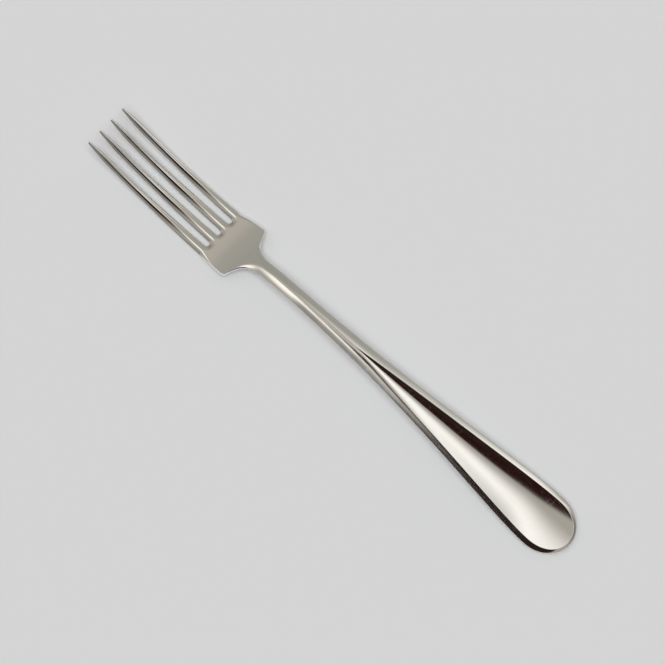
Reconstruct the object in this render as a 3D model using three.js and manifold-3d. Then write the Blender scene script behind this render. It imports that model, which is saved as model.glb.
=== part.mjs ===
// Dessert fork: one struck and polished silver forging with four tines and a hollowed handle.
// The forging is divided at its forming zones into four tines, palm, neck, stem and handle.
// The zones meet face to face on planes across the fork, and nothing on it moves.
// Millimetres, +Z up. X runs from the tine tips to the handle end, and Z = 0 is the table.

import * as THREE from "three";
import Module from "manifold-3d";

const wasm = await Module();
wasm.setup();
const { Manifold, Mesh } = wasm;
const { clamp, lerp, smoothstep } = THREE.MathUtils;

// Lengths along the fork, from the tips to the handle end.
const TINE_LENGTH = 43.6; // tip to the bottom of a slot
const PALM_LENGTH = 8.3; // slot bottom to the corners of the shoulders
const SHOULDER_DROP = 8.1; // corners of the shoulders to the neck
const NECK_LENGTH = 10.0;
const STEM_LENGTH = 24.0; // neck to the point where the hollow of the handle opens
const HANDLE_LENGTH = 80.6;
const END_ROUND = 9.7; // length of the rounded handle end
const POINT_LENGTH = 7.0; // sharpened end of a tine

// Widths.
const TINE_PITCH = 4.5;
const TINE_ROOT_WIDTH = 2.9;
const TINE_TIP_WIDTH = 1.55; // where the sharpening starts
const POINT_WIDTH = 0.6;
const SHOULDER_WIDTH = 17.3;
const SHOULDER_CORNER = 1.6; // radius of the shoulder corners
const NECK_WIDTH = 4.4;
const STEM_END_WIDTH = 5.5;
const HANDLE_WIDTH = 16.8;
const BEVEL_WIDTH = 1.59; // sloping band between the handle edge and the rim of its hollow
const END_BEVEL = 0.79; // the same band at the handle end
const END_FLAT = 1.2; // blunt spot at the very end

// Thicknesses, and the share of each that lies under the widest line of the section.
const POINT_THICK = 0.45;
const TINE_TIP_THICK = 1.2;
const TINE_ROOT_THICK = 2.26;
const SHOULDER_THICK = 2.5;
const STEM_THICK = 3.32;
const HANDLE_THICK = 2.67;
const END_THICK = 2.8;
const TIP_EDGE_SHARE = 0.5;
const ROOT_EDGE_SHARE = 0.64;
const PALM_EDGE_SHARE = 0.82;
const STEM_EDGE_SHARE = 0.73;
const EDGE_SHARE = 0.7;

// Edge rounding, measured inwards from the outline.
const TINE_ROLL_SHARE = 0.86; // of the half width of a tine
const PALM_ROLL = 0.2;
const HANDLE_ROLL = 2.83;
const HANDLE_BACK_ROLL = 3.2;
const END_ROLL = 1.09;
const RIM_ROUND = 0.1; // rounding of the rim of the hollow

// Exponents of the edge curves: 1 is a straight bevel, 2 a quarter round.
const ROUND_CURVE = 2.0;
const TINE_CURVE = 1.09;
const BEVEL_CURVE = 1.15;

// The ridge of the stem: two flanks that meet in a rounded top.
const RIDGE_ROUND = 0.75; // share of the half width that the rounding takes
const RIDGE_FADE = 44.3; // length over which it runs out into the bevels of the handle

// The hollow of the handle.
const HOLLOW_LEAD = 34.9; // length over which its two rims part from the ridge of the stem
const HOLLOW_LEAD_CURVE = 2.31; // exponent of that parting
const HOLLOW_SLOPE_START = 0.78; // slope of its walls at the rims, near the stem
const HOLLOW_SLOPE_END = 0.14; // the same at the handle end
const HOLLOW_SLOPE_RUN = 0.61; // exponent of the change between the two
const HOLLOW_END_LEAD = 18.2; // length over which it closes towards the handle end
const HOLLOW_END_CURVE = 2.78; // exponent of that closing

// Side view: the back dips to the table behind the slots and again near the handle end.
const TIP_RISE = 7.9;
const TIP_CURL = 2.4; // exponent of the upward curve of the tines
const ARCH_RISE = 5.5; // back of the stem above the table
const HEEL_SETBACK = 0.91; // handle end to the line where the back meets the table
const HEEL_BEND = 1.38; // exponent that keeps the handle high and bends it down near its end
const BEND_EASE = 11.0; // reach over which the bends run into each other
const REST_WEAR = 0.3; // depth worn off the back where it rests
const FLARE = 0.04; // half width gained per unit of length where the handle starts to widen

// Stations along the fork.
const slotRadius = (TINE_PITCH - TINE_ROOT_WIDTH) / 2;
const rootAt = TINE_LENGTH - slotRadius;
const shoulderAt = TINE_LENGTH + PALM_LENGTH;
const neckAt = shoulderAt + SHOULDER_DROP;
const stemAt = neckAt + NECK_LENGTH;
const handleAt = stemAt + STEM_LENGTH;
const length = handleAt + HANDLE_LENGTH;
const roundAt = length - END_ROUND;
const heelAt = length - HEEL_SETBACK;
const TINES = 4;

const slotYs = Array.from({ length: TINES - 1 }, (_, i) => (i - (TINES - 2) / 2) * TINE_PITCH);
const tineYs = Array.from({ length: TINES }, (_, i) => (i - (TINES - 1) / 2) * TINE_PITCH);

// Half outline of everything behind the tines, seen from above.
const palmHalf = ((TINES - 1) * TINE_PITCH + TINE_ROOT_WIDTH) / 2;
const shoulderHalf = SHOULDER_WIDTH / 2;
const neckHalf = NECK_WIDTH / 2;
const stemHalf = STEM_END_WIDTH / 2;
const handleHalf = HANDLE_WIDTH / 2;
const stemRun = handleAt - neckAt;
const flareRun = roundAt - handleAt;
const outline = new THREE.Path();
outline.moveTo(rootAt, palmHalf);
outline.bezierCurveTo(
  rootAt + 0.15 * PALM_LENGTH,
  lerp(palmHalf, shoulderHalf, 0.15),
  rootAt + 0.35 * PALM_LENGTH,
  shoulderHalf,
  shoulderAt,
  shoulderHalf,
);
outline.quadraticCurveTo(
  shoulderAt + 0.5 * SHOULDER_CORNER,
  shoulderHalf + 0.1 * SHOULDER_CORNER,
  shoulderAt + 0.75 * SHOULDER_CORNER,
  shoulderHalf - 0.75 * SHOULDER_CORNER,
);
outline.bezierCurveTo(
  shoulderAt + 0.32 * SHOULDER_DROP,
  lerp(neckHalf, shoulderHalf, 0.5),
  shoulderAt + 0.36 * SHOULDER_DROP,
  1.15 * neckHalf,
  neckAt,
  neckHalf,
);
outline.bezierCurveTo(
  neckAt + 0.45 * stemRun,
  0.93 * neckHalf,
  handleAt - 0.4 * stemRun,
  stemHalf - 0.4 * stemRun * FLARE,
  handleAt,
  stemHalf,
);
outline.bezierCurveTo(
  handleAt + 0.45 * flareRun,
  stemHalf + 0.45 * flareRun * FLARE,
  roundAt - 0.17 * flareRun,
  handleHalf,
  roundAt,
  handleHalf,
);
outline.absellipse(roundAt, 0, END_ROUND, handleHalf, Math.PI / 2, 0, true, 0);
const outlinePoints = outline.getPoints(64);

function halfWidth(s) {
  const after = outlinePoints.findIndex((point) => point.x > s);
  if (after < 1) {
    return after === 0 ? palmHalf : 0;
  }
  const a = outlinePoints[after - 1];
  const b = outlinePoints[after];
  return lerp(a.y, b.y, (s - a.x) / (b.x - a.x));
}

// Height of the struck back above the table, with its bends still sharp.
function struckHeight(s) {
  if (s < TINE_LENGTH) {
    return TIP_RISE * ((TINE_LENGTH - s) / TINE_LENGTH) ** TIP_CURL;
  }
  if (s < stemAt) {
    return ARCH_RISE * smoothstep(s, TINE_LENGTH, stemAt);
  }
  const t = Math.min((s - stemAt) / (heelAt - stemAt), 1.2);
  return ARCH_RISE * Math.cos((Math.PI / 2) * t ** HEEL_BEND);
}

// The same with the bends eased, before the rests are worn flat.
function backHeight(s) {
  const steps = 24;
  let height = 0;
  let weights = 0;
  for (let i = 1 - steps; i < steps; i += 1) {
    const weight = 1 + Math.cos((Math.PI * i) / steps);
    height += weight * struckHeight(s + (BEND_EASE * i) / steps);
    weights += weight;
  }
  return height / weights - REST_WEAR;
}

// Section of a tine: a narrow bar with rounded edges that runs out to a point.
function tineSection(s, y) {
  const taper = s / rootAt;
  const point = 1 - (1 - clamp(s / POINT_LENGTH, 0, 1)) ** 2;
  const half = lerp(POINT_WIDTH, lerp(TINE_TIP_WIDTH, TINE_ROOT_WIDTH, taper), point) / 2;
  const thick = lerp(POINT_THICK, lerp(TINE_TIP_THICK, TINE_ROOT_THICK, taper), point);
  const roll = TINE_ROLL_SHARE * half;
  const edge = thick * lerp(TIP_EDGE_SHARE, ROOT_EDGE_SHARE, taper);
  const edges = { topRoll: roll, backRoll: roll, curve: TINE_CURVE, gable: 0, turn: 1 };
  return { s, y, half, thick, edge, ...edges, rim: 0 };
}

// Section of the body: flat on the palm, ridged on the neck and stem, hollowed on the handle.
function bodySection(s) {
  const half = Math.max(halfWidth(s), END_FLAT / 2);
  const step = 0.05;
  const slope = (halfWidth(Math.min(s + step, length)) - halfWidth(s - step)) / (2 * step);
  const turn = 1 / Math.hypot(1, slope);
  const onPalm = smoothstep(s, rootAt, shoulderAt);
  const toStem = smoothstep(s, shoulderAt, neckAt + 0.1 * NECK_LENGTH);
  const toHandle = smoothstep(s, handleAt, handleAt + HOLLOW_LEAD);
  const toEnd = smoothstep(s, roundAt - END_ROUND, length);
  const palmThick = lerp(TINE_ROOT_THICK, SHOULDER_THICK, onPalm);
  const barThick = lerp(STEM_THICK, HANDLE_THICK, smoothstep(s, handleAt, roundAt));
  const thick = lerp(lerp(palmThick, barThick, toStem), END_THICK, toEnd);
  const palmShare = lerp(ROOT_EDGE_SHARE, PALM_EDGE_SHARE, onPalm);
  const edge = thick * lerp(lerp(palmShare, STEM_EDGE_SHARE, toStem), EDGE_SHARE, toHandle);
  const gable = toStem * (1 - smoothstep(s, handleAt, handleAt + RIDGE_FADE));
  const palmRoll = lerp((TINE_ROLL_SHARE * TINE_ROOT_WIDTH) / 2, PALM_ROLL, onPalm);
  const barRoll = lerp(palmRoll, half, toStem);
  const barBackRoll = lerp(palmRoll, 0.9 * half, toStem);
  const topRoll = lerp(lerp(barRoll, HANDLE_ROLL, toHandle), END_ROLL, toEnd);
  const backRoll = lerp(lerp(barBackRoll, HANDLE_BACK_ROLL, toHandle), END_ROLL, toEnd);
  const palmCurve = lerp(TINE_CURVE, ROUND_CURVE, onPalm);
  const curve = lerp(palmCurve, BEVEL_CURVE, toStem);
  const lead = clamp((s - handleAt) / HOLLOW_LEAD, 0, 1);
  const bevel = BEVEL_WIDTH + (stemHalf - BEVEL_WIDTH) * (1 - lead) ** HOLLOW_LEAD_CURVE;
  const rim = s > handleAt ? Math.max(halfWidth(Math.min(s, roundAt)) - bevel / turn, 0) : 0;
  const run = clamp((s - handleAt) / HANDLE_LENGTH, 0, 1);
  const wall = lerp(HOLLOW_SLOPE_START, HOLLOW_SLOPE_END, run ** HOLLOW_SLOPE_RUN);
  const depth = 0.5 * rim * wall;
  const toLip = (s - (length - END_BEVEL - HOLLOW_END_LEAD)) / HOLLOW_END_LEAD;
  const closing = clamp(toLip, 0, 2) ** HOLLOW_END_CURVE;
  const rimBevel = lerp(bevel, END_BEVEL, toEnd);
  const edges = { topRoll, backRoll, curve, gable, turn };
  return { s, y: 0, half, thick, edge, ...edges, rim, rimBevel, depth, closing };
}

// Edge curve that rises from 0 at the outline to 1 at the inner end of an edge roll.
function rise(q, curve) {
  return (1 - (1 - clamp(q, 0, 1)) ** curve) ** (1 / curve);
}

// The same for a gable with a rounded ridge.
function gableRise(q) {
  const reach = Math.hypot(1, RIDGE_ROUND);
  return (reach - Math.hypot(1 - clamp(q, 0, 1), RIDGE_ROUND)) / (reach - RIDGE_ROUND);
}

// Height of the domed top at a distance from the outline.
function domeHeight(p, inset) {
  const q = inset / p.topRoll;
  return p.edge + (p.thick - p.edge) * lerp(rise(q, p.curve), gableRise(q), p.gable);
}

function topHeight(p, y) {
  const dome = domeHeight(p, (p.half - y) * p.turn);
  if (p.rim < 0.01) {
    return dome;
  }
  const rimHeight = domeHeight(p, p.rimBevel);
  const hollow = rimHeight - p.depth * (1 - (y / p.rim) ** 2 - p.closing);
  const near = Math.max(RIM_ROUND - Math.abs(dome - hollow), 0) / RIM_ROUND;
  return Math.min(dome, hollow) - (RIM_ROUND * near * near) / 4;
}

function backDrop(p, y) {
  return p.edge - p.edge * rise(((p.half - y) * p.turn) / p.backRoll, ROUND_CURVE);
}

// One closed section, as points that run over the top from right to left and back underneath.
function ring(p) {
  const base = backHeight(p.s);
  const hollowHalf = p.rim > 0 ? p.rim * Math.sqrt(Math.max(1 - p.closing, 0)) : 0;
  const fold = clamp(hollowHalf, 0.45 * p.half, 0.95 * p.half);
  const inner = [0.4, 0.75, 1].map((q) => q * fold);
  const outer = [0.4, 0.75, 0.95, 1].map((q) => lerp(fold, p.half, q));
  const roll = Math.min(p.backRoll / p.turn, 0.85 * p.half);
  const under = [0.06, 0.35, 1].map((q) => p.half - q * roll);
  const topSide = [...inner, ...outer];
  const point = (y, z) => new THREE.Vector3(p.s - length / 2, p.y + y, Math.max(base + z, 0));
  const right = topSide.map((y) => point(y, topHeight(p, y))).reverse();
  const left = topSide.map((y) => point(-y, topHeight(p, y)));
  const backLeft = under.map((y) => point(-y, backDrop(p, y)));
  const backRight = under.map((y) => point(y, backDrop(p, y))).reverse();
  return [...right, point(0, topHeight(p, 0)), ...left, ...backLeft, ...backRight];
}

// Closed solid through a row of sections, with flat ends.
function loft(rings) {
  const count = rings[0].length;
  const positions = rings.flat().flatMap((v) => [v.x, v.y, v.z]);
  const index = [];
  for (let i = 0; i + 1 < rings.length; i += 1) {
    for (let j = 0; j < count; j += 1) {
      const a = i * count + j;
      const b = i * count + ((j + 1) % count);
      index.push(a, b, a + count, b, b + count, a + count);
    }
  }
  const last = (rings.length - 1) * count;
  const capOf = (section) =>
    THREE.ShapeUtils.triangulateShape(
      section.map((v) => new THREE.Vector2(v.y, v.z)),
      [],
    );
  capOf(rings[0]).forEach(([a, b, c]) => index.push(a, c, b));
  capOf(rings[rings.length - 1]).forEach(([a, b, c]) => index.push(last + a, last + b, last + c));
  const geometry = new THREE.BufferGeometry();
  geometry.setAttribute("position", new THREE.Float32BufferAttribute(positions, 3));
  geometry.setIndex(index);
  return geometry;
}

function toManifold(geometry) {
  const vertProperties = new Float32Array(geometry.attributes.position.array);
  const triVerts = new Uint32Array(geometry.index.array);
  const mesh = new Mesh({ numProp: 3, vertProperties, triVerts });
  mesh.merge();
  return new Manifold(mesh);
}

function toGeometry(manifold) {
  const mesh = manifold.getMesh();
  const geometry = new THREE.BufferGeometry();
  geometry.setAttribute("position", new THREE.Float32BufferAttribute(mesh.vertProperties, 3));
  geometry.setIndex(Array.from(mesh.triVerts));
  return geometry;
}

const span = (from, to, steps) => Array.from({ length: steps + 1 }, (_, i) => lerp(from, to, i / steps));
const join = (...runs) => runs.flatMap((run, i) => (i === 0 ? run : run.slice(1)));
const bodyLoft = (stations) => loft(stations.map((s) => ring(bodySection(s))));

const silver = () => new THREE.MeshStandardMaterial({ color: 0xd8d2c6, roughness: 0.16, metalness: 1 });
const fork = new THREE.Group();
fork.name = "dessert_fork";

function addZone(name, geometry) {
  geometry.computeVertexNormals();
  const mesh = new THREE.Mesh(geometry, silver());
  mesh.name = name;
  fork.add(mesh);
}

// Tines: four alike bars, drawn to points and curved upwards.
const tineStations = join(span(0, POINT_LENGTH, 5), span(POINT_LENGTH, rootAt, 9));
tineYs.forEach((y, i) => {
  addZone(`tine_${i + 1}`, loft(tineStations.map((s) => ring(tineSection(s, y)))));
});

// Palm with its shoulders: the blank from which the slots are cut.
const cornerEnd = shoulderAt + 0.75 * SHOULDER_CORNER;
const palmStations = join(
  span(rootAt, shoulderAt, 6),
  span(shoulderAt, cornerEnd, 4),
  span(cornerEnd, lerp(cornerEnd, neckAt, 0.45), 6),
  span(lerp(cornerEnd, neckAt, 0.45), neckAt, 4),
);
const slotCutters = slotYs.map((y) => {
  const reach = 4 * SHOULDER_THICK;
  const slotEnd = new THREE.CylinderGeometry(slotRadius, slotRadius, reach, 20);
  slotEnd.rotateX(Math.PI / 2);
  slotEnd.translate(rootAt - length / 2, y, SHOULDER_THICK);
  return toManifold(slotEnd);
});
const palmBlank = toManifold(bodyLoft(palmStations));
addZone("palm", toGeometry(palmBlank.subtract(Manifold.union(slotCutters))));

// Neck: the waist that lifts the palm into the stem.
addZone("neck", bodyLoft(span(neckAt, stemAt, 6)));

// Stem: a bar with a rounded ridge along its top.
addZone("stem", bodyLoft(span(stemAt, handleAt, 6)));

// Handle: the ridge parts into two rims around a hollow that runs out over the rounded end.
const endStations = span(0, 0.94, 8).map((q) => roundAt + END_ROUND * Math.sin((q * Math.PI) / 2));
const handleStations = join(
  span(handleAt, handleAt + HOLLOW_LEAD, 8),
  span(handleAt + HOLLOW_LEAD, roundAt, 8),
  endStations,
);
addZone("handle", bodyLoft([...handleStations, length]));

export default fork;
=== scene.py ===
# Dessert fork, struck from one blank of silver and polished: handle, stem, neck, palm, four tines.
# Each zone is a closed mesh that meets its neighbours on a plane across the fork, in the CAD frame.
import math

import bpy
import bmesh
import numpy as np
from mathutils import Matrix, Vector


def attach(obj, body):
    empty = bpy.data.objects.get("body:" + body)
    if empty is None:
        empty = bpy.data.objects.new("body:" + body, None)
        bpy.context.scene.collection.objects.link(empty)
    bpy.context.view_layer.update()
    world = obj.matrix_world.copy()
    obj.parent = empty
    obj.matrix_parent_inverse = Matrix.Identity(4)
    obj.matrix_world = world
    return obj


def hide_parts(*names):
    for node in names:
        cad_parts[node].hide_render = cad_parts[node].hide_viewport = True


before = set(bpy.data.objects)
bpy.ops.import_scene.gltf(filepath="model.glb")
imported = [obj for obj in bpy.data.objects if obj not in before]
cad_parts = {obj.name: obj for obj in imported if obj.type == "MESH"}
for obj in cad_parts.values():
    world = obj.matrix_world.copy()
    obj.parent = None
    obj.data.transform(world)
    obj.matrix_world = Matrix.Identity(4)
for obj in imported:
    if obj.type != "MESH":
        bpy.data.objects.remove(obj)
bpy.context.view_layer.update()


# Handle: the flared end of the silver forging, struck between dies on its face and its back.
# The ridge of the stem parts into two rims, which run round a shallow hollow to the rounded end.
# Its edges are filed round, and face and back are buffed to a mirror polish.
MM = 0.001  # the frame is in metres, and the sizes of the fork are in millimetres
FORK_LENGTH = 174.6
HANDLE_START = 94.0  # stations are counted from the tips of the tines
END_ROUND = 9.7  # length of the rounded end
ROUND_START = FORK_LENGTH - END_ROUND
HANDLE_HALF = 8.4  # half of the width
STEM_END_HALF = 2.75
FLARE = 0.04  # half width gained per unit of length where the handle starts to widen
FLARE_HOLD = 0.45  # share of the run that keeps that flare
WIDEST_HOLD = 0.17  # share of the run that keeps the full width
HANDLE_SIDE_POINTS = 801

# The curve to which the whole forging is bent: height of the back above the table.
REST_STATION = 43.6  # the back of the palm lies on the table here
ARCH_STATION = 70.0  # highest point of the back
HEEL_SETBACK = 0.91
HEEL_STATION = FORK_LENGTH - HEEL_SETBACK  # and here it meets the table again
TIP_RISE = 7.9
TIP_CURL = 2.4  # exponent of the upward curve of the tines
ARCH_RISE = 5.5
HEEL_BEND = 1.375  # exponent that keeps the handle high and bends it down near its end
HEEL_OVERRUN = 1.2  # how far the bend goes on past the heel
REST_WEAR = 0.3  # depth worn off the back where it rests
BEND_EASE = 11.0  # reach over which the bends run into each other
BEND_STEP = 0.05
BEND_MARGIN = 30.0
TABLE_EASE = 0.04  # rounding where a worn flat runs out

# The thickness of the forging, and how its edges are rolled over into the face and into the back.
STEM_THICK = 3.319
HANDLE_THICK = 2.672
END_THICK = 2.8
EDGE_SHARE = 0.703  # height of the edge as a share of the thickness
STEM_EDGE_SHARE = 0.728
STEM_RIDGE = 1.32  # exponent of the roll, and 2 is a round one
RIDGE_ROUND = 0.75  # rounding of the ridge as a share of the half width
RIDGE_FADE = 44.3  # length over which the ridge runs out into the bevels
BEVEL_CURVE = 1.092
BEVEL_CURVE_END = 1.2
HANDLE_ROLL = 3.26  # width of the roll
HANDLE_ROLL_END = 2.41
HANDLE_BACK_ROLL = 3.2
BACK_ROLL_SHARE = 0.9  # of the half width of the stem
END_ROLL = 1.092
ROUND_CURVE = 2.0

# The two rims and the hollow between them.
RIM_LEAD = 34.9  # length over which the rims part from the ridge
RIM_LEAD_CURVE = 2.31  # exponent of that parting
RIM_BEVEL = 1.635  # sloping band between the edge and a rim
RIM_BEVEL_END = 1.545
TIP_BEVEL = 0.792  # the same band at the very end
RIM_ROUND = 0.03  # rounding of the rims
RIM_LEAST = 0.001
RIM_WEAR = 0.8
RIM_WEAR_WIDTH = 0.25
HOLLOW_SLOPE = 0.782  # slope of the walls at the rims, near the stem
HOLLOW_SLOPE_END = 0.136
HOLLOW_SLOPE_RUN = 0.608  # exponent of its change towards the end
HOLLOW_END_LEAD = 9.275  # where the hollow starts to close, before the rounded end
HOLLOW_END_CURVE = 2.78  # exponent of that closing

# The ribs on which its skin is laid, from the middle line out to the edge.
SIDE_RIBS = 200
END_RIBS = 64
RIB_TURN = 8.0  # length over which the ribs turn square to the edge
HOLLOW_COLUMNS = 24
BEVEL_COLUMNS = 26
RIM_PROBES = 300
RIM_NEAREST = 0.02
RIM_FARTHEST = 0.985
OPEN_GAP = 1e-4  # a narrower end needs no closing face
MERGE_REACH = 1e-7
SLIVER = 1e-8


def mix(a, b, share):
    return a + (b - a) * share


def ease(value, start, end):
    share = np.clip((value - start) / (end - start), 0.0, 1.0)
    return share * share * (3.0 - 2.0 * share)


def curve_points(controls, count):
    t = np.linspace(0.0, 1.0, count)[:, None]
    p = [np.array(c, float) for c in controls]
    while len(p) > 1:
        p = [mix(a, b, t) for a, b in zip(p[:-1], p[1:])]
    return p[0]


def struck_bend(s):
    tines = TIP_RISE * np.clip((REST_STATION - s) / REST_STATION, 0.0, None) ** TIP_CURL
    neck = ARCH_RISE * ease(s, REST_STATION, ARCH_STATION)
    along = np.clip((s - ARCH_STATION) / (HEEL_STATION - ARCH_STATION), 0.0, HEEL_OVERRUN)
    handle = ARCH_RISE * np.cos(0.5 * np.pi * along**HEEL_BEND)
    return np.where(s < REST_STATION, tines, np.where(s < ARCH_STATION, neck, handle)) - REST_WEAR


bend_stations = np.arange(-BEND_MARGIN, FORK_LENGTH + BEND_MARGIN, BEND_STEP)
bend_window = np.hanning(2 * int(BEND_EASE / BEND_STEP) + 3)
bend_window = bend_window / bend_window.sum()
bend_heights = np.convolve(struck_bend(bend_stations), bend_window, mode="same")


def back_line(s):
    return np.interp(s, bend_stations, bend_heights)


def on_table(z):
    return 0.5 * (z + np.sqrt(z * z + TABLE_EASE * TABLE_EASE))


def rolled(share, curve):
    inside = 1.0 - np.clip(share, 0.0, 1.0)
    return np.maximum(1.0 - inside**curve, 0.0) ** (1.0 / curve)


def gabled(share, ridge):
    """Two even flanks that meet in a rounded ridge: 0 at the edge and 1 on top."""
    inside = 1.0 - np.clip(share, 0.0, 1.0)
    reach = math.sqrt(1.0 + ridge * ridge)
    return (reach - np.sqrt(inside * inside + ridge * ridge)) / (reach - ridge)


def crowned(share, curve, gable):
    return mix(rolled(share, curve), gabled(share, RIDGE_ROUND), gable)


def meet(a, b, blend):
    near = np.maximum(blend - np.abs(a - b), 0.0) / blend
    return np.minimum(a, b) - 0.25 * blend * near * near


flare_run = ROUND_START - HANDLE_START
handle_side = curve_points(
    [
        (HANDLE_START, STEM_END_HALF),
        (HANDLE_START + FLARE_HOLD * flare_run, STEM_END_HALF + FLARE_HOLD * flare_run * FLARE),
        (ROUND_START - WIDEST_HOLD * flare_run, HANDLE_HALF),
        (ROUND_START, HANDLE_HALF),
    ],
    HANDLE_SIDE_POINTS,
)


def handle_section(s):
    side = np.interp(s, handle_side[:, 0], handle_side[:, 1])
    to_handle = ease(s, HANDLE_START, HANDLE_START + RIM_LEAD)
    to_end = ease(s, ROUND_START - END_ROUND, FORK_LENGTH)
    run = np.clip((s - HANDLE_START) / flare_run, 0.0, 1.0)
    bar = mix(STEM_THICK, HANDLE_THICK, ease(s, HANDLE_START, ROUND_START))
    thick = mix(bar, END_THICK, to_end)
    roll = mix(mix(side, mix(HANDLE_ROLL, HANDLE_ROLL_END, run), to_handle), END_ROLL, to_end)
    back_roll = mix(mix(BACK_ROLL_SHARE * side, HANDLE_BACK_ROLL, to_handle), END_ROLL, to_end)
    curve = mix(STEM_RIDGE, mix(BEVEL_CURVE, BEVEL_CURVE_END, run), to_handle)
    gable = 1.0 - ease(s, HANDLE_START, HANDLE_START + RIDGE_FADE)
    edge = thick * mix(STEM_EDGE_SHARE, EDGE_SHARE, to_handle)
    return thick, edge, roll, back_roll, curve, gable, to_end


def rim_line(s):
    lead = np.clip((s - HANDLE_START) / RIM_LEAD, 0.0, 1.0)
    run = np.clip((s - HANDLE_START) / flare_run, 0.0, 1.0)
    bevel = mix(RIM_BEVEL, RIM_BEVEL_END, run)
    bevel = bevel + (STEM_END_HALF - bevel) * (1.0 - lead) ** RIM_LEAD_CURVE
    half = np.interp(np.minimum(s, ROUND_START), handle_side[:, 0], handle_side[:, 1])
    return np.maximum(half - bevel, RIM_LEAST), bevel


def hollow_share(s, y):
    lead_in = ROUND_START - HOLLOW_END_LEAD
    along = np.clip((s - lead_in) / (FORK_LENGTH - TIP_BEVEL - lead_in), 0.0, 2.0)
    return (y / rim_line(s)[0]) ** 2 + along**HOLLOW_END_CURVE


def hollow_height(s, y):
    rim, bevel = rim_line(s)
    run = np.clip((s - HANDLE_START) / (FORK_LENGTH - HANDLE_START), 0.0, 1.0)
    depth = 0.5 * rim * mix(HOLLOW_SLOPE, HOLLOW_SLOPE_END, run**HOLLOW_SLOPE_RUN)
    thick, edge, roll, _, curve, gable, to_end = handle_section(np.minimum(s, FORK_LENGTH))
    bevel = mix(bevel, TIP_BEVEL, to_end)
    rim_height = edge + (thick - edge) * crowned(bevel / roll, curve, gable)
    return rim_height - depth * (1.0 - hollow_share(s, y))


def silver_zone(name, top, back, wear_and_shade):
    """Closed mesh between a face grid and a back grid that share their outer columns."""
    rows, columns = top.shape[:2]
    points = np.concatenate([top.reshape(-1, 3), back.reshape(-1, 3)])
    points[:, 0] -= 0.5 * FORK_LENGTH
    points *= MM
    at = np.arange(rows * columns).reshape(rows, columns)
    under = at + rows * columns

    def quads(a, b, c, d):
        return np.stack([a, b, c, d], -1).reshape(-1, 4)

    faces = [
        quads(at[:-1, :-1], at[1:, :-1], at[1:, 1:], at[:-1, 1:]),
        quads(under[:-1, :-1], under[:-1, 1:], under[1:, 1:], under[1:, :-1]),
    ]
    skin = sum(len(f) for f in faces)
    for row in (0, rows - 1):
        gap = np.abs(top[row] - back[row]).max(axis=1) > OPEN_GAP
        open_span = gap[:-1] | gap[1:]
        cap = quads(at[row, :-1], at[row, 1:], under[row, 1:], under[row, :-1])[open_span]
        faces.append(cap if row == 0 else cap[:, ::-1])
    mesh = bpy.data.meshes.new(name)
    mesh.from_pydata(points.tolist(), [], np.concatenate(faces).tolist())
    # These values are wear and also the painted shade behind the slots, which lies below zero.
    mesh.attributes.new("wear_and_shade", "FLOAT", "POINT").data.foreach_set(
        "value", np.concatenate([wear_and_shade.ravel(), wear_and_shade.ravel()]).astype(np.float32)
    )
    form = bmesh.new()
    form.from_mesh(mesh)
    form.faces.ensure_lookup_table()
    ends = form.faces.layers.int.new("zone_end")
    for face in form.faces[skin:]:
        face[ends] = 1
    bmesh.ops.remove_doubles(form, verts=form.verts, dist=MERGE_REACH)
    bmesh.ops.dissolve_degenerate(form, edges=form.edges, dist=SLIVER)
    bmesh.ops.recalc_face_normals(form, faces=form.faces)
    for face in form.faces:
        face.smooth = True
    for edge in form.edges:
        edge.smooth = len({f[ends] for f in edge.link_faces}) == 1
    form.faces.layers.int.remove(ends)
    form.to_mesh(mesh)
    form.free()
    piece = bpy.data.objects.new(name, mesh)
    bpy.context.scene.collection.objects.link(piece)
    return piece


# Its finish: warm and clean patches in the polish, hairlines from the buff along the fork, a few
# scuffs across it, edges rubbed bright by use and painted shade, a brown tint, behind the slots.
SILVER_CLEAN = (0.94, 0.93, 0.91, 1.0)
SILVER_WARM = (0.91, 0.89, 0.86, 1.0)
# Painted shade: this brown tint darkens the silver behind the ends of the slots.
PAINTED_SHADE_BROWN = (0.46, 0.39, 0.33, 1.0)
SILVER_WORN = (0.97, 0.965, 0.955, 1.0)
PATCHES = 55.0
PATCH_DETAIL = 4.0
PATCH_BAND = (0.35, 0.65)
# Strength of the painted shade behind the slots.
PAINTED_SHADE_MOST = 0.9
RUBBED_FROM = 0.3
RUBBED_MOST = 0.6
RUBBED_ROUGHNESS = 0.08
HAIR_STRETCH = (60.0, 2600.0, 2600.0)
HAIR_TURN = (0.0, 0.0, math.radians(4.0))
HAIR_DETAIL = 3.0
HAIR_BAND = (0.3, 0.7)
HAIR_ROUGHNESS = (0.075, 0.125)
HAIR_STRENGTH = 0.03
HAIR_DEPTH = 0.00001
SCUFF_STRETCH = (1500.0, 90.0, 1500.0)
SCUFF_TURN = (0.0, 0.0, math.radians(33.0))
SCUFF_DETAIL = 2.0
SCUFF_BAND = (0.64, 0.74)
SCUFF_ROUGHNESS = 0.06
WAVES = 120.0
WAVE_DETAIL = 1.0
WAVE_STRENGTH = 0.05
WAVE_DEPTH = 0.0002


def node(tree, kind, place, settings=None, **values):
    made = tree.nodes.new(kind)
    made.location = place
    for key, value in values.items():
        setattr(made, key, value)
    for socket_name, value in (settings or {}).items():
        made.inputs[socket_name].default_value = value
    return made


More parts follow.
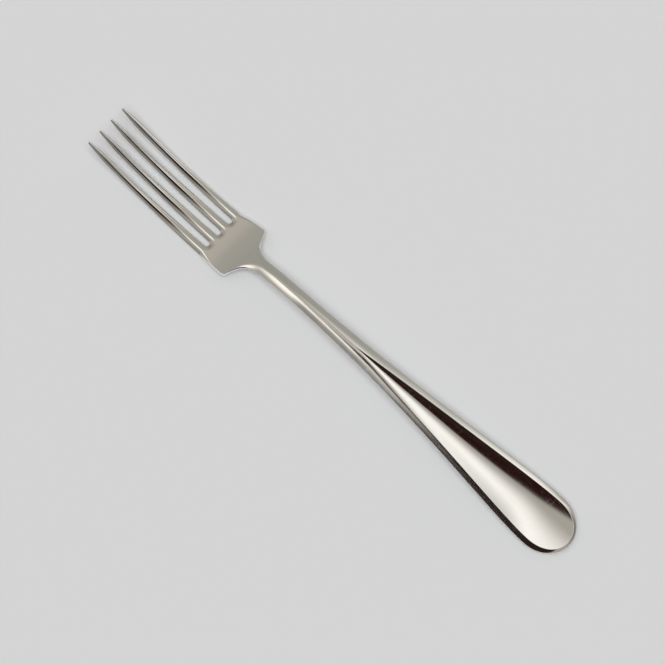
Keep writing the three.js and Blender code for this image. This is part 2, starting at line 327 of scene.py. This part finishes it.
def polished_silver():
    silver = bpy.data.materials.new("polished_silver")
    silver.use_nodes = True
    tree = silver.node_tree
    link = tree.links.new
    shader = tree.nodes["Principled BSDF"]
    shader.inputs["Metallic"].default_value = 1.0
    place = node(tree, "ShaderNodeTexCoord", (-1600, 0)).outputs["Object"]

    def noise(at, vector, scale, detail):
        made = node(tree, "ShaderNodeTexNoise", at, {"Scale": scale, "Detail": detail})
        link(vector, made.inputs["Vector"])
        return made.outputs["Fac"]

    def stretched(at, scale, turn):
        made = node(tree, "ShaderNodeMapping", at, {"Scale": scale, "Rotation": turn})
        link(place, made.inputs["Vector"])
        return made.outputs["Vector"]

    def ranged(at, value, settings):
        made = node(tree, "ShaderNodeMapRange", at, settings)
        link(value, made.inputs["Value"])
        return made.outputs["Result"]

    def mixed(at, share, under, over):
        made = node(tree, "ShaderNodeMix", at, {"B": over}, data_type="RGBA")
        link(share, made.inputs["Factor"])
        link(under, made.inputs["A"])
        return made.outputs["Result"]

    def added(at, value, times, base):
        made = node(tree, "ShaderNodeMath", at, {1: times}, operation="MULTIPLY_ADD")
        link(value, made.inputs[0])
        link(base, made.inputs[2])
        return made.outputs["Value"]

    tone = node(tree, "ShaderNodeValToRGB", (-900, 500))
    stops = tone.color_ramp.elements
    stops[0].position, stops[1].position = PATCH_BAND
    stops[0].color, stops[1].color = SILVER_WARM, SILVER_CLEAN
    link(noise((-1100, 500), place, PATCHES, PATCH_DETAIL), tone.inputs["Fac"])
    wear_and_shade = node(tree, "ShaderNodeAttribute", (-1100, 200), attribute_name="wear_and_shade").outputs["Fac"]
    # Painted shade: wear values below zero darken the silver towards the brown shade tint.
    painted_shade_range = {"From Min": 0.0, "From Max": -1.0, "To Max": PAINTED_SHADE_MOST}
    painted_shade = ranged((-900, 250), wear_and_shade, painted_shade_range)
    rubbed = ranged((-700, 100), wear_and_shade, {"From Min": RUBBED_FROM, "To Max": RUBBED_MOST})
    shade_painted = mixed((-500, 400), painted_shade, tone.outputs["Color"], PAINTED_SHADE_BROWN)
    worn = mixed((-300, 400), rubbed, shade_painted, SILVER_WORN)
    link(worn, shader.inputs["Base Color"])

    along = stretched((-1350, -150), HAIR_STRETCH, HAIR_TURN)
    hairs = noise((-1100, -150), along, 1.0, HAIR_DETAIL)
    across = stretched((-1350, -500), SCUFF_STRETCH, SCUFF_TURN)
    scuffs = noise((-1100, -500), across, 1.0, SCUFF_DETAIL)
    scuff_range = {"From Min": SCUFF_BAND[0], "From Max": SCUFF_BAND[1]}
    scuff_lines = ranged((-900, -500), scuffs, scuff_range)
    hair_range = {
        "From Min": HAIR_BAND[0],
        "From Max": HAIR_BAND[1],
        "To Min": HAIR_ROUGHNESS[0],
        "To Max": HAIR_ROUGHNESS[1],
    }
    buffed = ranged((-700, -100), hairs, hair_range)
    scuffed = added((-500, -100), scuff_lines, SCUFF_ROUGHNESS, buffed)
    matt = added((-300, -100), rubbed, RUBBED_ROUGHNESS, scuffed)
    link(matt, shader.inputs["Roughness"])

    wave_depth = {"Strength": WAVE_STRENGTH, "Distance": WAVE_DEPTH}
    polish = node(tree, "ShaderNodeBump", (-500, -700), wave_depth)
    link(noise((-1100, -800), place, WAVES, WAVE_DETAIL), polish.inputs["Height"])
    hair_depth = {"Strength": HAIR_STRENGTH, "Distance": HAIR_DEPTH}
    hairlines = node(tree, "ShaderNodeBump", (-300, -500), hair_depth)
    link(hairs, hairlines.inputs["Height"])
    link(polish.outputs["Normal"], hairlines.inputs["Normal"])
    link(hairlines.outputs["Normal"], shader.inputs["Normal"])
    return silver


silver = polished_silver()

end_angles = np.linspace(0.5 * np.pi, 0.0, END_RIBS)[1:]
side_arc = np.r_[0.0, np.cumsum(np.hypot(*np.diff(handle_side, axis=0).T))]
side_pick = np.linspace(0.0, side_arc[-1], SIDE_RIBS)
rib_edge_s = np.r_[
    np.interp(side_pick, side_arc, handle_side[:, 0]),
    ROUND_START + END_ROUND * np.cos(end_angles),
]
rib_edge_y = np.r_[
    np.interp(side_pick, side_arc, handle_side[:, 1]),
    HANDLE_HALF * np.sin(end_angles),
]
side_s, side_y = rib_edge_s[:SIDE_RIBS], rib_edge_y[:SIDE_RIBS]
side_slope = np.gradient(side_y, side_s)
evolute = (END_ROUND**2 - HANDLE_HALF**2) / END_ROUND
rib_root = np.r_[
    side_s + side_y * side_slope * ease(side_s, HANDLE_START, HANDLE_START + RIB_TURN),
    ROUND_START + evolute * np.cos(end_angles),
]
rib_length = np.hypot(rib_edge_s - rib_root, rib_edge_y)
probe = np.linspace(0.0, 1.0, RIM_PROBES)
probe_s = mix(rib_root[:, None], rib_edge_s[:, None], probe)
probe_share = hollow_share(probe_s, rib_edge_y[:, None] * probe)
probe_share = np.maximum.accumulate(probe_share, axis=1)
rim_at = [np.interp(1.0, shares, probe) for shares in probe_share]
rim_at = np.clip(rim_at, RIM_NEAREST, RIM_FARTHEST)[:, None]
floor_steps = np.sin(np.linspace(0.0, 0.5 * np.pi, HOLLOW_COLUMNS))
bevel_steps = 0.5 - 0.5 * np.cos(np.linspace(0.0, np.pi, BEVEL_COLUMNS))[1:]
rib_steps = [rim_at * floor_steps, rim_at + (1.0 - rim_at) * bevel_steps]
rib_steps = np.concatenate(rib_steps, axis=1)
rib_s = mix(rib_root[:, None], rib_edge_s[:, None], rib_steps)
rib_y = rib_edge_y[:, None] * rib_steps
rib_y[-1] = 0.0
inset = rib_length[:, None] * (1.0 - rib_steps)
thick, edge, roll, back_roll, curve, gable, _ = (v[:, None] for v in handle_section(rib_edge_s))
crown = crowned(inset / roll, curve, gable)
face_height = meet(edge + (thick - edge) * crown, hollow_height(rib_s, rib_y), RIM_ROUND)
back_height = edge * (1.0 - rolled(inset / back_roll, ROUND_CURVE))
face_z = on_table(back_line(rib_s) + face_height)
back_z = on_table(back_line(rib_s) + back_height)
rim_away = (rib_steps - rim_at) * rib_length[:, None]
rim_wear = RIM_WEAR * np.exp(-((rim_away / RIM_WEAR_WIDTH) ** 2))
handle_wear = np.maximum(1.0 - crown, rim_wear)


def both_sides(s, y, z):
    half = np.stack([s, y, z], -1)
    mirrored = half[:, :0:-1] * (1.0, -1.0, 1.0)
    return np.concatenate([mirrored, half], axis=1)


handle = silver_zone(
    "handle_skin",
    both_sides(rib_s, rib_y, face_z),
    both_sides(rib_s, rib_y, back_z),
    np.concatenate([handle_wear[:, :0:-1], handle_wear], axis=1),
)
handle.data.materials.append(silver)
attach(handle, "root")
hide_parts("handle")


# Stem: the slim bar of the same forging between neck and handle, drawn down under the hammer.
# Its top is a low ridge with two even flanks, its back is rounded, and it is polished all over.
STEM_START = 70.0
NECK_START = 60.0
NECK_HALF = 2.2
SHOULDER_STATION = 51.9
SHOULDER_THICK = 2.5
ROOT_THICK = 2.26
TINE_ROOT_HALF = 1.45
TINE_ROOT_ROLL = 1.24
TINE_CURVE = 1.088  # exponent of the roll on the tines and round the slots
ROOT_EDGE_SHARE = 0.64
PALM_ROLL = 0.15
PALM_EDGE_SHARE = 0.825
PALM_EDGE_CURVE = 4.0
TO_STEM_START = SHOULDER_STATION + 0.5  # the plate starts to swell into the stem here
SLOT_RADIUS = 0.8
ROOT_STATION = REST_STATION - SLOT_RADIUS
STEM_WAIST = 0.93  # slimmest part as a share of the neck
STEM_WAIST_AT = 0.45
STEM_FLARE_HOLD = 0.4
STEM_WEAR = 0.5
BAR_SIDE_POINTS = 401
BAR_COLUMNS = 81
STEM_ROWS = 73

stem_run = HANDLE_START - NECK_START
bar_side = curve_points(
    [
        (NECK_START, NECK_HALF),
        (NECK_START + STEM_WAIST_AT * stem_run, STEM_WAIST * NECK_HALF),
        (
            HANDLE_START - STEM_FLARE_HOLD * stem_run,
            STEM_END_HALF - STEM_FLARE_HOLD * stem_run * FLARE,
        ),
        (HANDLE_START, STEM_END_HALF),
    ],
    BAR_SIDE_POINTS,
)


def bar_section(s, half):
    to_stem = ease(s, TO_STEM_START, NECK_START)
    along_palm = ease(s, ROOT_STATION, SHOULDER_STATION)
    thick = mix(mix(ROOT_THICK, SHOULDER_THICK, along_palm), STEM_THICK, to_stem)
    front_roll = mix(TINE_ROOT_ROLL, PALM_ROLL, along_palm)
    roll = mix(front_roll, half, to_stem)
    back_roll = mix(front_roll, BACK_ROLL_SHARE * half, to_stem)
    curve = mix(mix(TINE_CURVE, PALM_EDGE_CURVE, along_palm), STEM_RIDGE, to_stem)
    palm_share = mix(ROOT_EDGE_SHARE, PALM_EDGE_SHARE, along_palm)
    edge = thick * mix(palm_share, STEM_EDGE_SHARE, to_stem)
    return thick, edge, roll, back_roll, curve, to_stem


def bar_zone(name, stations, inset_of):
    half = np.interp(stations, bar_side[:, 0], bar_side[:, 1])[:, None]
    s = np.repeat(stations[:, None], BAR_COLUMNS, 1)
    y = half * np.sin(np.linspace(-0.5 * np.pi, 0.5 * np.pi, BAR_COLUMNS))
    inset = inset_of(s, y)
    inset[:, [0, -1]] = 0.0
    thick, edge, roll, back_roll, curve, gable = bar_section(s, half)
    crown = crowned(inset / roll, curve, gable)
    top = np.stack([s, y, on_table(back_line(s) + edge + (thick - edge) * crown)], -1)
    under = on_table(back_line(s) + edge * (1.0 - rolled(inset / back_roll, ROUND_CURVE)))
    return silver_zone(name, top, np.stack([s, y, under], -1), STEM_WEAR * (1.0 - crown))


def side_inset(s, y):
    return np.interp(s, bar_side[:, 0], bar_side[:, 1]) - np.abs(y)


stem = bar_zone("stem_skin", np.linspace(STEM_START, HANDLE_START, STEM_ROWS), side_inset)
stem.data.materials.append(silver)
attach(stem, "root")
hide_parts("stem")


# Neck: the waist where the flat palm is raised and drawn together into the stem.
# The ridge of the stem fades out here towards the edges of the two shoulders.
SHOULDER_HALF = 8.65
SHOULDER_CORNER = 1.6
SHOULDER_DROP = NECK_START - SHOULDER_STATION  # length of the sweep from shoulder to neck
PALM_LENGTH = SHOULDER_STATION - REST_STATION
TINE_PITCH = 4.5
TINES = 4
PALM_HALF = 0.5 * (TINES - 1) * TINE_PITCH + TINE_ROOT_HALF
PALM_FLARE_AT = 0.15
PALM_FULL_AT = 0.35
CORNER_BULGE_AT = 0.65
CORNER_BULGE = 0.05
CORNER_END_AT = 0.9
CORNER_END_DROP = 0.8
SWEEP_AT = 0.32
SWEEP_HALF = 0.5
WAIST_AT = 0.36
WAIST_SWELL = 1.15
PALM_SIDE_POINTS = 161
CORNER_POINTS = 81
SWEEP_POINTS = 241
NECK_SIDE_POINTS = 200
POINTS_AT_ONCE = 1500
NECK_ROWS = 41

corner = (
    SHOULDER_STATION + CORNER_END_AT * SHOULDER_CORNER,
    SHOULDER_HALF - CORNER_END_DROP * SHOULDER_CORNER,
)
palm_side = np.concatenate(
    [
        curve_points(
            [
                (ROOT_STATION, PALM_HALF),
                (
                    ROOT_STATION + PALM_FLARE_AT * PALM_LENGTH,
                    mix(PALM_HALF, SHOULDER_HALF, PALM_FLARE_AT),
                ),
                (ROOT_STATION + PALM_FULL_AT * PALM_LENGTH, SHOULDER_HALF),
                (SHOULDER_STATION, SHOULDER_HALF),
            ],
            PALM_SIDE_POINTS,
        )[:-1],
        curve_points(
            [
                (SHOULDER_STATION, SHOULDER_HALF),
                (
                    SHOULDER_STATION + CORNER_BULGE_AT * SHOULDER_CORNER,
                    SHOULDER_HALF + CORNER_BULGE * SHOULDER_CORNER,
                ),
                corner,
            ],
            CORNER_POINTS,
        )[:-1],
        curve_points(
            [
                corner,
                (
                    SHOULDER_STATION + SWEEP_AT * SHOULDER_DROP,
                    mix(NECK_HALF, SHOULDER_HALF, SWEEP_HALF),
                ),
                (SHOULDER_STATION + WAIST_AT * SHOULDER_DROP, WAIST_SWELL * NECK_HALF),
                (NECK_START, NECK_HALF),
            ],
            SWEEP_POINTS,
        )[:-1],
    ]
)
front_side = np.concatenate([palm_side, bar_side[:NECK_SIDE_POINTS]])


def outline_inset(s, y):
    point = np.stack([s.ravel(), np.abs(y).ravel()], -1)
    start, step = front_side[:-1], np.diff(front_side, axis=0)
    nearest = np.empty(len(point))
    blocks = max(1, len(point) // POINTS_AT_ONCE)
    for block in np.array_split(np.arange(len(point)), blocks):
        away = point[block, None] - start
        share = np.clip((away * step).sum(-1) / (step * step).sum(-1), 0.0, 1.0)
        nearest[block] = np.linalg.norm(away - share[..., None] * step, axis=-1).min(axis=1)
    return nearest.reshape(s.shape)


neck = bar_zone("neck_skin", np.linspace(NECK_START, STEM_START, NECK_ROWS), outline_inset)
neck.data.materials.append(silver)
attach(neck, "root")
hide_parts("neck")


# Palm: the plate behind the tines, left at the full width of the blank, with two shoulders.
# Three slots are pierced into its front, and their ends are eased with a round file.
LANE_CROWN = 0.025  # depth of the furrows that run on from the slots
FURROW_LENGTH = 5.9
PALM_WEAR = 0.6
SLOT_PAINTED_SHADE = 1.4  # painted shade behind the slots, in a brown tint
SLOT_SHADE_REACH = 0.85
SLOT_SHADE_TURN = 3
LANE_COLUMNS = 25
SLOT_COLUMNS = 19
SLOT_ROWS = 26
SLOT_ROWS_REACH = 1.5
SLOT_ROWS_CURVE = 1.5
PLATE_ROWS = 26
CORNER_ROWS = 28
CORNER_ROWS_BEFORE = 0.2
CORNER_ROWS_AFTER = 0.3
SWEEP_ROWS = 46
TOUCHING = 1e-6

lane_steps = np.sin(np.linspace(-0.5 * np.pi, 0.5 * np.pi, LANE_COLUMNS))
slot_turns = np.linspace(np.pi, 0.0, SLOT_COLUMNS)
tine_ys = (np.arange(TINES) - 0.5 * (TINES - 1)) * TINE_PITCH
slot_ys = 0.5 * (tine_ys[:-1] + tine_ys[1:])
front_y = []
front_s = []
for lane, tine_y in enumerate(tine_ys):
    front_y += list(tine_y + TINE_ROOT_HALF * lane_steps)
    front_s += [ROOT_STATION] * LANE_COLUMNS
    if lane < TINES - 1:
        front_y += list(slot_ys[lane] + SLOT_RADIUS * np.cos(slot_turns)[1:-1])
        front_s += list(ROOT_STATION + SLOT_RADIUS * np.sin(slot_turns)[1:-1])
front_y, front_s = np.array(front_y), np.array(front_s)


def palm_half(s):
    return np.interp(s, front_side[:, 0], front_side[:, 1])


column_share = front_y / palm_half(front_s)
plate_start = ROOT_STATION + SLOT_ROWS_REACH
corner_start = SHOULDER_STATION - CORNER_ROWS_BEFORE
sweep_start = corner[0] + CORNER_ROWS_AFTER
row_s = np.r_[
    ROOT_STATION + SLOT_ROWS_REACH * np.linspace(0.0, 1.0, SLOT_ROWS) ** SLOT_ROWS_CURVE,
    np.linspace(plate_start, corner_start, PLATE_ROWS)[1:],
    np.linspace(corner_start, sweep_start, CORNER_ROWS)[1:],
    np.linspace(sweep_start, NECK_START, SWEEP_ROWS)[1:],
]
row_share = ((row_s - ROOT_STATION) / (NECK_START - ROOT_STATION))[:, None]
palm_s = mix(front_s[None, :], NECK_START, row_share)
palm_y = column_share * palm_half(palm_s)
edge_inset = outline_inset(palm_s, palm_y)
edge_inset[:, [0, -1]] = 0.0
slot_away = np.hypot(palm_s[..., None] - ROOT_STATION, palm_y[..., None] - slot_ys)
slot_pick = slot_away.argmin(axis=-1)[..., None]
slot_inset = np.take_along_axis(slot_away, slot_pick, -1)[..., 0] - SLOT_RADIUS
slot_inset = np.where(slot_inset < TOUCHING, 0.0, slot_inset)
facing_back = np.clip((palm_s - ROOT_STATION) / (slot_inset + SLOT_RADIUS), 0.0, 1.0)
thick, edge, roll, back_roll, curve, gable = bar_section(palm_s, palm_half(palm_s))
crown = crowned(edge_inset / roll, curve, gable)
crown = crown * rolled(slot_inset / TINE_ROOT_ROLL, TINE_CURVE)
lane_away = np.abs(palm_y[..., None] - tine_ys).min(axis=-1)
fading = 1.0 - ease(palm_s, ROOT_STATION, ROOT_STATION + FURROW_LENGTH)
furrow = LANE_CROWN * fading * np.sin(np.pi * lane_away / TINE_PITCH) ** 2
palm_face = edge + (thick - edge) * crown - furrow
back_round = rolled(edge_inset / back_roll, ROUND_CURVE)
back_round = back_round * rolled(slot_inset / back_roll, ROUND_CURVE)
palm_back = edge * (1.0 - back_round)
palm_top = np.stack([palm_s, palm_y, on_table(back_line(palm_s) + palm_face)], -1)
palm_under = np.stack([palm_s, palm_y, on_table(back_line(palm_s) + palm_back)], -1)
# Painted shade behind the ends of the slots, fading away from them, handed on as wear values below
# zero.
slot_shade = SLOT_PAINTED_SHADE * np.exp(-((slot_inset / SLOT_SHADE_REACH) ** 2))
slot_shade = slot_shade * facing_back**SLOT_SHADE_TURN
palm = silver_zone("palm_skin", palm_top, palm_under, PALM_WEAR * (1.0 - crown) - slot_shade)
palm.data.materials.append(silver)
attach(palm, "root")
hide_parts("palm")


# Tines: four alike bars left between the slots, drawn to points and curved upwards.
# One bar is lofted, and a node tree sets out the row at the pitch of the slots.
TINE_TIP_HALF = 0.775  # where the sharpening starts
POINT_HALF = 0.3
POINT_LENGTH = 7.0
TINE_TIP_THICK = 1.2
POINT_THICK = 0.45
TINE_TIP_ROLL = 0.9
TINE_TIP_CROWN = 0.205  # roundness across the face, near the tip
TIP_EDGE_SHARE = 0.5
POINT_NOSE = 0.3  # length of the blunted tip
NOSE_START = 0.06
TINE_ROLL_SHARE = 0.9
TINE_WEAR = 0.6
NOSE_ROWS = 10
POINT_ROWS = 30
TINE_ROWS = 90

tine_s = np.r_[
    POINT_NOSE * (1.0 - np.cos(np.linspace(NOSE_START, 0.5 * np.pi, NOSE_ROWS))),
    np.linspace(POINT_NOSE, POINT_LENGTH, POINT_ROWS)[1:],
    np.linspace(POINT_LENGTH, ROOT_STATION, TINE_ROWS)[1:],
][:, None]
taper = tine_s / ROOT_STATION
point = 1.0 - (1.0 - np.clip(tine_s / POINT_LENGTH, 0.0, 1.0)) ** 2
nose = np.sqrt(1.0 - (1.0 - np.clip(tine_s / POINT_NOSE, 0.0, 1.0)) ** 2)
tine_half = nose * mix(POINT_HALF, mix(TINE_TIP_HALF, TINE_ROOT_HALF, taper), point)
full_thick = mix(POINT_THICK, mix(TINE_TIP_THICK, ROOT_THICK, taper), point)
tine_thick = nose * full_thick
lift = 0.5 * (full_thick - tine_thick)
tine_roll = mix(TINE_TIP_ROLL, TINE_ROOT_ROLL, taper)
tine_roll = np.minimum(tine_roll, TINE_ROLL_SHARE * tine_half)
tine_y = tine_half * lane_steps
tine_inset = tine_half - np.abs(tine_y)
tine_edge = tine_thick * mix(TIP_EDGE_SHARE, ROOT_EDGE_SHARE, taper)
tine_crown = rolled(tine_inset / tine_roll, TINE_CURVE)
tine_round = rolled(tine_inset / tine_roll, ROUND_CURVE)
bar_s = np.repeat(tine_s, LANE_COLUMNS, 1)
bar_base = back_line(bar_s) + lift
tine_arch = mix(TINE_TIP_CROWN, LANE_CROWN, taper) * nose
tine_arch = tine_arch * np.minimum(tine_half / TINE_TIP_HALF, 1.0)
tine_arch = tine_arch * np.sin(np.pi * lane_steps * TINE_ROOT_HALF / TINE_PITCH) ** 2
tine_face = on_table(bar_base + tine_edge + (tine_thick - tine_edge) * tine_crown - tine_arch)
tine_back = on_table(bar_base + tine_edge * (1.0 - tine_round))
tines = silver_zone(
    "tine_row",
    np.stack([bar_s, tine_y, tine_face], -1),
    np.stack([bar_s, tine_y, tine_back], -1),
    TINE_WEAR * (1.0 - tine_crown),
)

row_tree = bpy.data.node_groups.new("row_of_tines", "GeometryNodeTree")
socket = row_tree.interface.new_socket
socket("Tine", in_out="INPUT", socket_type="NodeSocketGeometry")
count_in = socket("Tines", in_out="INPUT", socket_type="NodeSocketInt")
start_in = socket("First tine", in_out="INPUT", socket_type="NodeSocketVector")
pitch_in = socket("Pitch", in_out="INPUT", socket_type="NodeSocketVector")
finish_in = socket("Finish", in_out="INPUT", socket_type="NodeSocketMaterial")
socket("Row", in_out="OUTPUT", socket_type="NodeSocketGeometry")
row_in = node(row_tree, "NodeGroupInput", (-600, 0))
places = node(row_tree, "GeometryNodeMeshLine", (-400, 150))
copies = node(row_tree, "GeometryNodeInstanceOnPoints", (-200, 0))
joined = node(row_tree, "GeometryNodeRealizeInstances", (0, 0))
finish = node(row_tree, "GeometryNodeSetMaterial", (200, 0))
row_out = node(row_tree, "NodeGroupOutput", (400, 0))
link = row_tree.links.new
link(row_in.outputs["Tines"], places.inputs["Count"])
link(row_in.outputs["First tine"], places.inputs["Start Location"])
link(row_in.outputs["Pitch"], places.inputs["Offset"])
link(places.outputs["Mesh"], copies.inputs["Points"])
link(row_in.outputs["Tine"], copies.inputs["Instance"])
link(copies.outputs["Instances"], joined.inputs["Geometry"])
link(joined.outputs["Geometry"], finish.inputs["Geometry"])
link(row_in.outputs["Finish"], finish.inputs["Material"])
link(finish.outputs["Geometry"], row_out.inputs["Row"])
row = tines.modifiers.new("row_of_tines", "NODES")
row.node_group = row_tree
row[count_in.identifier] = TINES
row[start_in.identifier] = (0.0, tine_ys[0] * MM, 0.0)
row[pitch_in.identifier] = (0.0, TINE_PITCH * MM, 0.0)
row[finish_in.identifier] = silver
bpy.context.view_layer.update()
set_out = tines.evaluated_get(bpy.context.evaluated_depsgraph_get())
set_out = bpy.data.meshes.new_from_object(set_out)
tines.modifiers.remove(row)
tines.data = set_out
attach(tines, "root")
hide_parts("tine_1", "tine_2", "tine_3", "tine_4")


# Table: a plain pale sheet under the fork, which takes its soft shadow.
# It is matt, six metres to each side, and no part of the fork.
TABLE_GREY = (0.690, 0.703, 0.722, 1.0)
TABLE_HALF = 6.0
table_mesh = bpy.data.meshes.new("table")
table_signs = ((-1, -1), (1, -1), (1, 1), (-1, 1))
table_corners = [(x * TABLE_HALF, y * TABLE_HALF, 0.0) for x, y in table_signs]
table_mesh.from_pydata(table_corners, [], [(0, 1, 2, 3)])
table = bpy.data.objects.new("table", table_mesh)
bpy.context.scene.collection.objects.link(table)
sheet = bpy.data.materials.new("pale_sheet")
sheet.use_nodes = True
sheet_shader = sheet.node_tree.nodes["Principled BSDF"]
sheet_shader.inputs["Base Color"].default_value = TABLE_GREY
sheet_shader.inputs["Roughness"].default_value = 1.0
sheet_shader.inputs["Specular IOR Level"].default_value = 0.0
table_mesh.materials.append(sheet)


# Studio: a grey room that the polished metal mirrors, with two soft boxes, dark cards on the near
# side, and paler or darker stretches of wall and ceiling. A wide soft lamp on the camera's side
# lights the table and isn't mirrored.
CAMERA_AZIMUTH = 42.947
CAMERA_ELEVATION = 72.802
ROOM_GREY = (0.385, 0.362, 0.322, 1.0)
LAMP_ENERGY = 2.0
LAMP_SPREAD = math.radians(35.0)
# Each card: compass and elevation of its middle, half angles of its full and faded parts, colour.
CARDS = (
    ("soft_box_far", 76.0, 50.2, 20.3, 37.8, (1.070, 1.050, 1.005, 1.0)),
    ("soft_box_left", 264.3, 61.0, 9.5, 30.1, (1.080, 1.060, 0.985, 1.0)),
    ("dark_card_top", 216.9, 76.3, 11.5, 15.2, (0.018, 0.004, 0.004, 1.0)),
    ("dark_card", 194.7, 43.6, 29.7, 36.6, (0.021, 0.011, 0.009, 1.0)),
    ("dark_card_low", 229.2, 8.9, 15.7, 18.8, (0.239, 0.236, 0.224, 1.0)),
    ("far_wall", 356.3, 23.2, 18.5, 43.4, (0.319, 0.320, 0.286, 1.0)),
    ("left_wall", 247.0, 21.1, 8.6, 11.9, (0.240, 0.230, 0.210, 1.0)),
    ("right_card", 91.6, 39.4, 24.4, 38.2, (0.186, 0.177, 0.171, 1.0)),
    ("ceiling", 320.3, 70.0, 8.6, 15.7, (0.441, 0.426, 0.385, 1.0)),
    ("palm_glow", 338.0, 59.5, 0.5, 12.0, (0.437, 0.407, 0.360, 1.0)),
)


def toward(compass, elevation):
    """Direction by compass angle, clockwise from the far side of the picture, in degrees."""
    turn = math.radians(CAMERA_AZIMUTH)
    across = Vector((math.cos(turn), math.sin(turn), 0.0))
    away = Vector((-math.sin(turn), math.cos(turn), 0.0))
    a, e = math.radians(compass), math.radians(elevation)
    level = across * math.sin(a) * math.cos(e) + away * math.cos(a) * math.cos(e)
    return level + Vector((0.0, 0.0, math.sin(e)))


room = bpy.data.worlds.new("studio")
bpy.context.scene.world = room
room.use_nodes = True
walls = room.node_tree
ground = walls.nodes["Background"]
ground.inputs["Strength"].default_value = 1.0
look = node(walls, "ShaderNodeTexCoord", (-1400, 0)).outputs["Generated"]
shade = None
for name, compass, elevation, inner, outer, colour in CARDS:
    spread = node(walls, "ShaderNodeVectorMath", (-1100, 0), operation="DOT_PRODUCT", label=name)
    spread.inputs[1].default_value = toward(compass, elevation)
    walls.links.new(look, spread.inputs[0])
    soft = node(walls, "ShaderNodeMapRange", (-900, 0), interpolation_type="SMOOTHSTEP")
    soft.inputs["From Min"].default_value = math.cos(math.radians(outer))
    soft.inputs["From Max"].default_value = math.cos(math.radians(inner))
    walls.links.new(spread.outputs["Value"], soft.inputs["Value"])
    layer = node(walls, "ShaderNodeMix", (-700, 0), data_type="RGBA")
    walls.links.new(soft.outputs["Result"], layer.inputs["Factor"])
    if shade is None:
        layer.inputs["A"].default_value = ROOM_GREY
    else:
        walls.links.new(shade, layer.inputs["A"])
    layer.inputs["B"].default_value = colour
    shade = layer.outputs["Result"]
walls.links.new(shade, ground.inputs["Color"])

overhead = bpy.data.lights.new("overhead", "SUN")
overhead.energy = LAMP_ENERGY
overhead.angle = LAMP_SPREAD
lamp = bpy.data.objects.new("overhead", overhead)
lamp.rotation_mode = "QUATERNION"
lamp.rotation_quaternion = toward(180.0, CAMERA_ELEVATION).to_track_quat("Z", "Y")
lamp.visible_glossy = False
bpy.context.scene.collection.objects.link(lamp)


# Camera: a long lens above the near side of the fork, turned as in the photograph.
# It stands 1.4 m away and aims a little beside the middle of the fork.
CAMERA_DISTANCE = 1.4
CAMERA_LENS = 275.3
SENSOR_WIDTH = 36.0
NEAR_CLIP = 0.05
FAR_CLIP = 50.0
AIM = Vector((0.0, 0.0, 0.003))
AIM_LEFT = 0.000802
AIM_UP = 0.000685
lens = bpy.data.cameras.new("camera")
lens.lens = CAMERA_LENS
lens.sensor_width = SENSOR_WIDTH
lens.clip_start = NEAR_CLIP
lens.clip_end = FAR_CLIP
camera = bpy.data.objects.new("camera", lens)
backward = toward(180.0, CAMERA_ELEVATION)
sideways = toward(90.0, 0.0)
upward = backward.cross(sideways)
camera.location = AIM + backward * CAMERA_DISTANCE - sideways * AIM_LEFT + upward * AIM_UP
camera.rotation_mode = "QUATERNION"
camera.rotation_quaternion = Matrix((sideways, upward, backward)).transposed().to_quaternion()
bpy.context.scene.collection.objects.link(camera)
bpy.context.scene.camera = camera
bpy.context.scene.view_settings.view_transform = "Standard"
